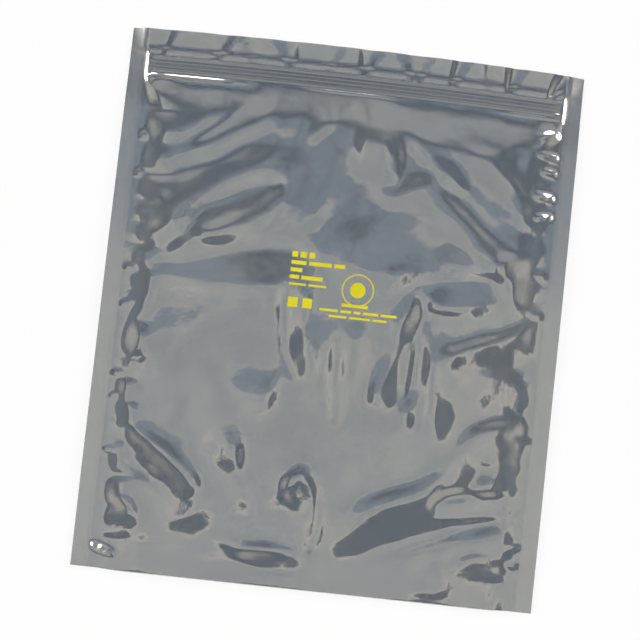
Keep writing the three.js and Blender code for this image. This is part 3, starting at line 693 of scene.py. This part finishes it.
def strip_material(zips):
    material, n, shader = surface("zip_plastic")
    place = n.make("ShaderNodeTexCoord").outputs["Object"]
    stretch = n.make("ShaderNodeMapping", {"Vector": place, "Scale": (6.0, 900.0, 900.0)}).outputs["Vector"]
    lines = n.make("ShaderNodeTexNoise", {"Vector": stretch, "Scale": 1.0, "Detail": 2.0}).outputs["Fac"]
    n.feed(
        shader.inputs["Base Color"],
        n.blend(n.ramp(lines, 0.3, 0.7), rgba(zips.plastic), rgba(zips.plastic_light)),
    )
    n.feed(shader.inputs["Roughness"], n.ramp(lines, 0.2, 0.8, 0.3, 0.5))
    bump = n.make("ShaderNodeBump", {"Height": lines, "Strength": 0.5, "Distance": 0.00005})
    n.feed(shader.inputs["Normal"], bump.outputs["Normal"])
    return material


def ink_material(marks):
    material, n, shader = surface("print_ink")
    place = n.make("ShaderNodeTexCoord").outputs["Object"]
    grain = n.make("ShaderNodeTexNoise", {"Vector": place, "Scale": 1500.0, "Detail": 3.0}).outputs["Fac"]
    n.feed(
        shader.inputs["Base Color"],
        n.blend(n.ramp(grain, 0.35, 0.75), rgba(marks.ink), rgba(marks.ink_thin)),
    )
    n.feed(shader.inputs["Roughness"], n.ramp(grain, 0.2, 0.8, 0.3, 0.45))
    shader.inputs["Alpha"].default_value = 1.0
    return material


# The print: rows of bars (left end, height up the bag, height of the bar, bar lengths), in
# millimetres, and round and square marks (middle across, middle up, outer and inner half size).
PRINT_ROWS = (
    (109.5, 197.2, 3.4, (3.4, 3.8, 3.4)),
    (109.5, 192.3, 2.3, (9.0, 13.5, 6.5)),
    (109.5, 187.9, 2.3, (7.0,)),
    (109.5, 183.6, 2.3, (5.4, 12.6)),
    (109.5, 179.4, 1.3, (10.0, 10.5)),
    (129.0, 166.2, 1.5, (11.0, 6.5, 4.0, 9.0, 9.5)),
    (135.0, 162.8, 1.3, (10.5, 12.5, 8.5)),
    (142.0, 170.0, 1.9, (15.5,)),
)
PRINT_RINGS = ((150.5, 179.5, 9.6, 8.9), (150.5, 179.5, 4.6, 0.0))
PRINT_SQUARES = ((112.8, 168.6, 2.9, 0.0), (121.4, 168.6, 2.9, 0.0))
BAR_GAP = 1.5

# Height from which the marks are laid down on the film.
MARKS_START = 60


def print_points(web):
    """Middle, size and kind of every mark: bars are kind 0 and rings kind 1."""
    marks = []
    for left, up, tall, lengths in PRINT_ROWS:
        for length in lengths:
            marks.append((left + length / 2, up, length, tall, 0.0, 0))
            left += length + BAR_GAP
    for across, up, outer, inner in PRINT_RINGS:
        marks.append((across, up, outer, outer, inner / outer, 1))
    for across, up, outer, inner in PRINT_SQUARES:
        marks.append((across, up, 2 * outer, 2 * outer, inner / outer, 0))
    return marks


def print_tree():
    """Geometry Nodes that lay bars and rings of ink on the film below them."""
    tree = bpy.data.node_groups.new("ink_marks", "GeometryNodeTree")
    socket = tree.interface.new_socket
    socket("Marks", in_out="INPUT", socket_type="NodeSocketGeometry")
    socket("Film", in_out="INPUT", socket_type="NodeSocketObject")
    socket("Lift", in_out="INPUT", socket_type="NodeSocketFloat")
    socket("Thickness", in_out="INPUT", socket_type="NodeSocketFloat")
    socket("Material", in_out="INPUT", socket_type="NodeSocketMaterial")
    socket("Ink", in_out="OUTPUT", socket_type="NodeSocketGeometry")
    n = Nodes(tree)
    given = n.make("NodeGroupInput").outputs

    def named(name, kind):
        return n.make("GeometryNodeInputNamedAttribute", {"Name": name}, data_type=kind).outputs["Attribute"]

    def store(geometry, name, kind, value, domain="POINT"):
        node = n.make(
            "GeometryNodeStoreNamedAttribute", {"Geometry": geometry, "Name": name}, data_type=kind,
            domain=domain,
        )
        n.feed(node.inputs["Value"], value)
        return node.outputs["Geometry"]

    here = n.make("GeometryNodeInputPosition").outputs[0]
    grid = n.make(
        "GeometryNodeMeshGrid", {"Size X": 1.0, "Size Y": 1.0, "Vertices X": 41, "Vertices Y": 4},
    ).outputs["Mesh"]
    patch = store(grid, "patch", "FLOAT_VECTOR", here)
    marks = store(given["Marks"], "middle", "FLOAT_VECTOR", here)
    copies = n.make("GeometryNodeInstanceOnPoints", {"Points": marks, "Instance": patch}).outputs["Instances"]
    flat = n.make("GeometryNodeRealizeInstances", {"Geometry": copies}).outputs["Geometry"]
    part = n.make("ShaderNodeSeparateXYZ", {"Vector": named("patch", "FLOAT_VECTOR")}).outputs
    turn = n.math("MULTIPLY", part["X"], 2 * math.pi)
    hole = named("hole", "FLOAT")
    reach = n.math(
        "ADD", hole, n.math("MULTIPLY", n.math("SUBTRACT", 1.0, hole), n.math("ADD", part["Y"], 0.5)),
    )
    round_x = n.math("MULTIPLY", reach, n.math("SINE", turn))
    round_y = n.math("MULTIPLY", reach, n.math("COSINE", turn))
    is_round = named("round", "FLOAT")
    across = n.make("ShaderNodeMix", {0: is_round, 2: part["X"], 3: round_x}).outputs[0]
    along = n.make("ShaderNodeMix", {0: is_round, 2: part["Y"], 3: round_y}).outputs[0]
    shape = n.make("ShaderNodeCombineXYZ", {"X": across, "Y": along}).outputs[0]
    sized = n.make(
        "ShaderNodeVectorMath", {0: shape, 1: named("size", "FLOAT_VECTOR")}, operation="MULTIPLY",
    ).outputs[0]
    place = n.make(
        "ShaderNodeVectorMath", {0: named("middle", "FLOAT_VECTOR"), 1: sized}, operation="ADD",
    ).outputs[0]
    laid = n.make("GeometryNodeSetPosition", {"Geometry": flat, "Position": place}).outputs["Geometry"]
    film = n.make(
        "GeometryNodeObjectInfo", {"Object": given["Film"]}, transform_space="RELATIVE",
    ).outputs["Geometry"]
    ray = n.make(
        "GeometryNodeRaycast",
        {"Target Geometry": film, "Ray Direction": (0.0, 0.0, -1.0), "Ray Length": 1.0},
    )
    raised = n.make("ShaderNodeVectorMath", {0: ray.outputs["Hit Position"]}, operation="ADD")
    lift = n.make("ShaderNodeCombineXYZ", {"Z": given["Lift"]}).outputs[0]
    n.feed(raised.inputs[1], lift)
    draped = n.make(
        "GeometryNodeSetPosition", {"Geometry": laid, "Position": raised.outputs[0]},
    ).outputs["Geometry"]
    closed = n.make("GeometryNodeMergeByDistance", {"Geometry": draped, "Distance": 1e-6}).outputs["Geometry"]
    top = n.make(
        "GeometryNodeExtrudeMesh",
        {"Mesh": closed, "Offset Scale": given["Thickness"], "Individual": False}, mode="FACES",
    )
    under = n.make("GeometryNodeFlipFaces", {"Mesh": closed}).outputs["Mesh"]
    both = n.make("GeometryNodeJoinGeometry")
    for piece in (top.outputs["Mesh"], under):
        tree.links.new(piece, both.inputs[0])
    solid = n.make(
        "GeometryNodeMergeByDistance", {"Geometry": both.outputs[0], "Distance": 1e-6},
    ).outputs["Geometry"]
    real = n.make("GeometryNodeRealizeInstances", {"Geometry": solid}).outputs["Geometry"]
    inked = n.make(
        "GeometryNodeSetMaterial", {"Geometry": real, "Material": given["Material"]},
    ).outputs["Geometry"]
    n.make("NodeGroupOutput", {"Ink": inked})
    return tree


def run_tree(tree, name, start, **inputs):
    """A plain mesh object made by a tree from a start object, which is removed."""
    made_by = start.modifiers.new(tree.name, "NODES")
    made_by.node_group = tree
    for item in tree.interface.items_tree:
        if item.in_out == "INPUT" and item.name in inputs:
            made_by[item.identifier] = inputs[item.name]
    bpy.context.view_layer.update()
    mesh = bpy.data.meshes.new_from_object(start.evaluated_get(bpy.context.evaluated_depsgraph_get()))
    start.modifiers.remove(made_by)
    bpy.data.objects.remove(start)
    mesh.name = name
    made = bpy.data.objects.new(name, mesh)
    bpy.context.collection.objects.link(made)
    return made


# The studio's cards: colour, reach to the right, reach away, softness of the edge, and whether the
# card stands on both sides.
STUDIO_CARDS = (
    ((0.34, 0.31, 0.265), (0.30, 9.0), (-9.0, 9.0), 0.07, True),
    ((0.30, 0.28, 0.24), (-9.0, 9.0), (-9.0, -0.34), 0.06, False),
    ((0.25, 0.255, 0.26), (0.0, 0.45), (0.25, 0.60), 0.06, True),
    ((0.125, 0.155, 0.20), (0.0, 0.165), (-0.10, 0.135), 0.035, True),
    ((0.34, 0.32, 0.29), (0.0, 0.165), (-0.16, 0.050), 0.010, True),
    ((0.52, 0.46, 0.39), (0.0, 0.17), (-0.185, 0.030), 0.010, True),
    ((0.266, 0.274, 0.272), (0.0, 0.15), (-0.165, 0.030), 0.010, True),
    ((0.31, 0.31, 0.295), (0.06, 0.15), (-0.165, 0.030), 0.03, True),
    ((0.235, 0.245, 0.25), (0.0, 0.09), (-0.045, 0.030), 0.03, True),
    ((9.0, 9.0, 9.0), (0.52, 0.80), (-0.18, 0.42), 0.04, True),
    ((5.0, 5.0, 5.0), (0.0, 0.40), (0.55, 0.75), 0.04, True),
)

# Where the dark room gives way to the pale wall, and the colour of that wall.
HORIZON_START, HORIZON_END = 0.86, 0.94
PALE_WALL = (0.8, 0.8, 0.8)


def studio_light(world, settings):
    """A studio of pale cards in a dark room, read by direction: a is to the right, b is away."""
    tree = world.node_tree
    n = Nodes(tree)
    way = n.make(
        "ShaderNodeSeparateXYZ", {"Vector": n.make("ShaderNodeTexCoord").outputs["Generated"]},
    ).outputs
    over = n.math("MAXIMUM", n.math("ADD", way["Z"], 1.0), 0.05)
    a = n.math("DIVIDE", way["X"], over)
    b = n.math("DIVIDE", way["Y"], over)
    aside = n.math("ABSOLUTE", a)

    def window(value, low, high, soft):
        rise = n.ramp(value, low - soft, low + soft)
        return n.math("MULTIPLY", rise, n.ramp(value, high - soft, high + soft, 1.0, 0.0))

    def card(colour, over_colour, a_low, a_high, b_low, b_high, soft, across=a):
        share = n.math("MULTIPLY", window(across, a_low, a_high, soft), window(b, b_low, b_high, soft))
        return n.blend(share, over_colour, colour)

    light = rgba(settings.room)
    for colour, (a_low, a_high), (b_low, b_high), soft, paired in STUDIO_CARDS:
        light = card((*colour, 1.0), light, a_low, a_high, b_low, b_high, soft, aside if paired else a)
    horizon = n.math("SQRT", n.math("ADD", n.math("MULTIPLY", a, a), n.math("MULTIPLY", b, b)))
    light = n.blend(n.ramp(horizon, HORIZON_START, HORIZON_END), light, rgba(PALE_WALL))
    backdrop = tree.nodes["Background"]
    n.feed(backdrop.inputs["Color"], light)
    backdrop.inputs["Strength"].default_value = settings.world_strength
    white = n.make("ShaderNodeBackground", {"Color": (1.0, 1.0, 1.0, 1.0), "Strength": 1.0}).outputs[0]
    seen = n.make("ShaderNodeLightPath").outputs["Is Camera Ray"]
    mixed = n.make("ShaderNodeMixShader", {0: seen, 1: backdrop.outputs[0], 2: white}).outputs[0]
    n.feed(tree.nodes["World Output"].inputs["Surface"], mixed)


class FilmSettings(bpy.types.PropertyGroup):
    """Sizes and colours of the metallised film."""

    thickness: FloatProperty(
        name="Thickness", description="Thickness of the film", default=0.00008, unit="LENGTH", precision=5,
    )
    seal_width: FloatProperty(
        name="Seal width", description="Width of each side seal", default=0.0095, unit="LENGTH",
    )
    strip_width: FloatProperty(
        name="Zip width", description="Width of the zip strips", default=0.0072, unit="LENGTH",
    )
    bow: FloatProperty(
        name="Lip bow", description="How far the lip bulges at mid width", default=0.0024, unit="LENGTH",
    )
    crease_depth: FloatProperty(
        name="Crease depth", description="Scale of the creases' height", default=1.0, subtype="FACTOR",
    )
    tint: FloatVectorProperty(
        name="Tint", description="Colour of the metal coating", default=(0.84, 0.87, 0.89), size=3,
        subtype="COLOR",
    )
    tint_light: FloatVectorProperty(
        name="Pale tint", description="Colour where the coating is thinner", default=(0.90, 0.91, 0.90),
        size=3, subtype="COLOR",
    )
    seal_tint: FloatVectorProperty(
        name="Seal tint", description="Colour of the hazed side seals", default=(0.97, 0.98, 0.97), size=3,
        subtype="COLOR",
    )
    face_alpha: FloatProperty(
        name="Face opacity", description="Opacity of each face of the film", default=0.52, subtype="FACTOR",
        min=0, max=1,
    )
    roughness: FloatProperty(
        name="Roughness", description="Roughness of the film", default=0.055, subtype="FACTOR", min=0,
        max=1,
    )
    crinkle: FloatProperty(
        name="Fine crinkle", description="Height of the fine crinkle", default=0.00012, unit="LENGTH",
        precision=5,
    )


class ZipSettings(bpy.types.PropertyGroup):
    """Colours of the press-to-close strips."""

    plastic: FloatVectorProperty(
        name="Plastic", description="Colour of the strips", default=(0.62, 0.65, 0.66), size=3,
        subtype="COLOR",
    )
    plastic_light: FloatVectorProperty(
        name="Pale plastic", description="Colour of the paler draw lines", default=(0.74, 0.76, 0.77),
        size=3, subtype="COLOR",
    )


class PrintSettings(bpy.types.PropertyGroup):
    """Sizes and colours of the printed marks."""

    lift: FloatProperty(
        name="Lift", description="Space between film and ink", default=0.00004, unit="LENGTH", precision=5,
    )
    thickness: FloatProperty(
        name="Ink thickness", description="Thickness of the ink", default=0.00002, unit="LENGTH",
        precision=5,
    )
    ink: FloatVectorProperty(
        name="Ink", description="Colour of the ink", default=(0.78, 0.70, 0.01), size=3, subtype="COLOR",
    )
    ink_thin: FloatVectorProperty(
        name="Thin ink", description="Colour where the ink is thin", default=(0.60, 0.56, 0.03), size=3,
        subtype="COLOR",
    )


class StageSettings(bpy.types.PropertyGroup):
    """Camera, light and floor."""

    lens: FloatProperty(
        name="Lens", description="Focal length on a 36 mm sensor", default=61.9, unit="CAMERA",
    )
    eye: FloatVectorProperty(
        name="Camera place", description="Where the camera stands", default=(-0.0172, -0.0311, 0.6557),
        size=3, subtype="TRANSLATION", unit="LENGTH",
    )
    turn: FloatVectorProperty(
        name="Camera turn", description="How the camera is turned",
        default=(math.radians(2.40), math.radians(-1.22), math.radians(6.27)), size=3, subtype="EULER",
    )
    room: FloatVectorProperty(
        name="Room", description="Colour of the dark room", default=(0.013, 0.030, 0.056), size=3,
        subtype="COLOR",
    )
    world_strength: FloatProperty(
        name="Light level", description="Strength of the studio's light", default=1.0,
    )
    floor: FloatVectorProperty(
        name="Floor", description="Colour of the floor", default=(0.9, 0.9, 0.9), size=3, subtype="COLOR",
    )
    floor_size: FloatProperty(name="Floor size", description="Side of the floor", default=4.0, unit="LENGTH")


class FilmBagSettings(bpy.types.PropertyGroup):
    """Everything that a user would change."""

    film: PointerProperty(type=FilmSettings, name="Film", description="Metallised film")
    zips: PointerProperty(type=ZipSettings, name="Zip", description="Press-to-close strips")
    marks: PointerProperty(type=PrintSettings, name="Print", description="Printed marks")
    stage: PointerProperty(type=StageSettings, name="Stage", description="Camera, light and floor")


class FILMBAG_OT_stage(bpy.types.Operator):
    """Place the camera, the studio light and the floor"""

    bl_idname = "film_bag.stage"
    bl_label = "Make the stage"

    def execute(self, context):
        settings = context.scene.film_bag.stage
        data = bpy.data.cameras.new("camera")
        data.lens = settings.lens
        data.sensor_width = 36
        camera = bpy.data.objects.new("camera", data)
        camera.location = settings.eye
        camera.rotation_euler = Euler(settings.turn)
        context.collection.objects.link(camera)
        context.scene.camera = camera
        context.scene.view_settings.view_transform = "Standard"
        world = bpy.data.worlds.new("studio")
        world.use_nodes = True
        context.scene.world = world
        studio_light(world, settings)
        self.make_floor(settings)
        return {"FINISHED"}

    def make_floor(self, settings):
        half = settings.floor_size / 2
        points = np.array(
            [
                (-half, -half, FLOOR_LEVEL), (half, -half, FLOOR_LEVEL), (half, half, FLOOR_LEVEL),
                (-half, half, FLOOR_LEVEL),
            ]
        )
        material, n, shader = surface("floor_paper")
        shader.inputs["Base Color"].default_value = rgba(settings.floor)
        shader.inputs["Roughness"].default_value = 0.9
        rays = n.make("ShaderNodeLightPath").outputs
        seen = n.math(
            "MAXIMUM", rays["Is Camera Ray"],
            n.math("MAXIMUM", rays["Is Glossy Ray"], rays["Is Transmission Ray"]),
        )
        glow = n.make("ShaderNodeEmission", {"Color": (1.0, 1.0, 1.0, 1.0), "Strength": 1.0}).outputs[0]
        mixed = n.make(
            "ShaderNodeMixShader",
            {0: n.math("MULTIPLY", seen, FLOOR_WHITE), 1: shader.outputs[0], 2: glow},
        ).outputs[0]
        n.feed(material.node_tree.nodes["Material Output"].inputs["Surface"], mixed)
        mesh_object("floor", points, np.array([(0, 1, 2, 3)]), [material])


class FILMBAG_OT_web(bpy.types.Operator):
    """Make the folded and sealed film web"""

    bl_idname = "film_bag.web"
    bl_label = "Make the film web"

    def execute(self, context):
        film = context.scene.film_bag.film
        web = Web(film)
        grid, seal = web_grid(web)
        points, faces = slab(grid, web.film)
        made = mesh_object("film_web", points * MM, faces, [film_material(film)])
        share = made.data.attributes.new("seal", "FLOAT", "POINT")
        share.data.foreach_set("value", np.tile(seal.ravel(), 2).astype(np.float32))
        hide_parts("film_pouch")
        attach(made, "root")
        return {"FINISHED"}


class FILMBAG_OT_zip(bpy.types.Operator):
    """Give the two zip strips their plastic"""

    bl_idname = "film_bag.zip"
    bl_label = "Finish the zip strips"

    def execute(self, context):
        plastic = strip_material(context.scene.film_bag.zips)
        for name in ("zip_rib_strip", "zip_groove_strip"):
            strip = bpy.data.objects[name]
            for slot in strip.material_slots:
                slot.material = plastic
        return {"FINISHED"}


class FILMBAG_OT_print(bpy.types.Operator):
    """Print the marks on the front wall"""

    bl_idname = "film_bag.print"
    bl_label = "Print the marks"

    def execute(self, context):
        marks = context.scene.film_bag.marks
        web = Web(context.scene.film_bag.film)
        rows = print_points(web)
        middles = [(across - web.width / 2, web.foot + up, MARKS_START) for across, up, *_ in rows]
        start = mesh_object("ink_middles", np.array(middles) * MM, np.empty((0, 3), int), [])
        sizes = start.data.attributes.new("size", "FLOAT_VECTOR", "POINT")
        sizes.data.foreach_set("vector", [v for row in rows for v in (row[2] * MM, row[3] * MM, 1.0)])
        for name, column in (("hole", 4), ("round", 5)):
            share = start.data.attributes.new(name, "FLOAT", "POINT")
            share.data.foreach_set("value", [float(row[column]) for row in rows])
        made = run_tree(
            print_tree(), "print_marks", start, Film=bpy.data.objects["film_web"], Lift=marks.lift,
            Thickness=marks.thickness, Material=ink_material(marks),
        )
        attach(made, "root")
        return {"FINISHED"}


class FILMBAG_PT_panel(bpy.types.Panel):
    """The bag's settings and makers"""

    bl_label = "Film bag"
    bl_idname = "FILMBAG_PT_panel"
    bl_space_type = "VIEW_3D"
    bl_region_type = "UI"
    bl_category = "Film bag"

    def draw(self, context):
        settings = context.scene.film_bag
        for operator, group in zip(OPERATORS, (settings.stage, settings.film, settings.zips, settings.marks)):
            box = self.layout.box()
            box.operator(operator.bl_idname)
            for name in group.__annotations__:
                box.prop(group, name)


OPERATORS = (FILMBAG_OT_stage, FILMBAG_OT_web, FILMBAG_OT_zip, FILMBAG_OT_print)
CLASSES = (
    FilmSettings, ZipSettings, PrintSettings, StageSettings, FilmBagSettings, *OPERATORS, FILMBAG_PT_panel,
)


def register():
    for cls in CLASSES:
        bpy.utils.register_class(cls)
    bpy.types.Scene.film_bag = PointerProperty(type=FilmBagSettings)


def unregister():
    del bpy.types.Scene.film_bag
    for cls in reversed(CLASSES):
        bpy.utils.unregister_class(cls)


def main():
    register()
    bpy.ops.film_bag.stage()
    bpy.ops.film_bag.web()
    bpy.ops.film_bag.zip()
    bpy.ops.film_bag.print()


if __name__ == "__main__":
    main()
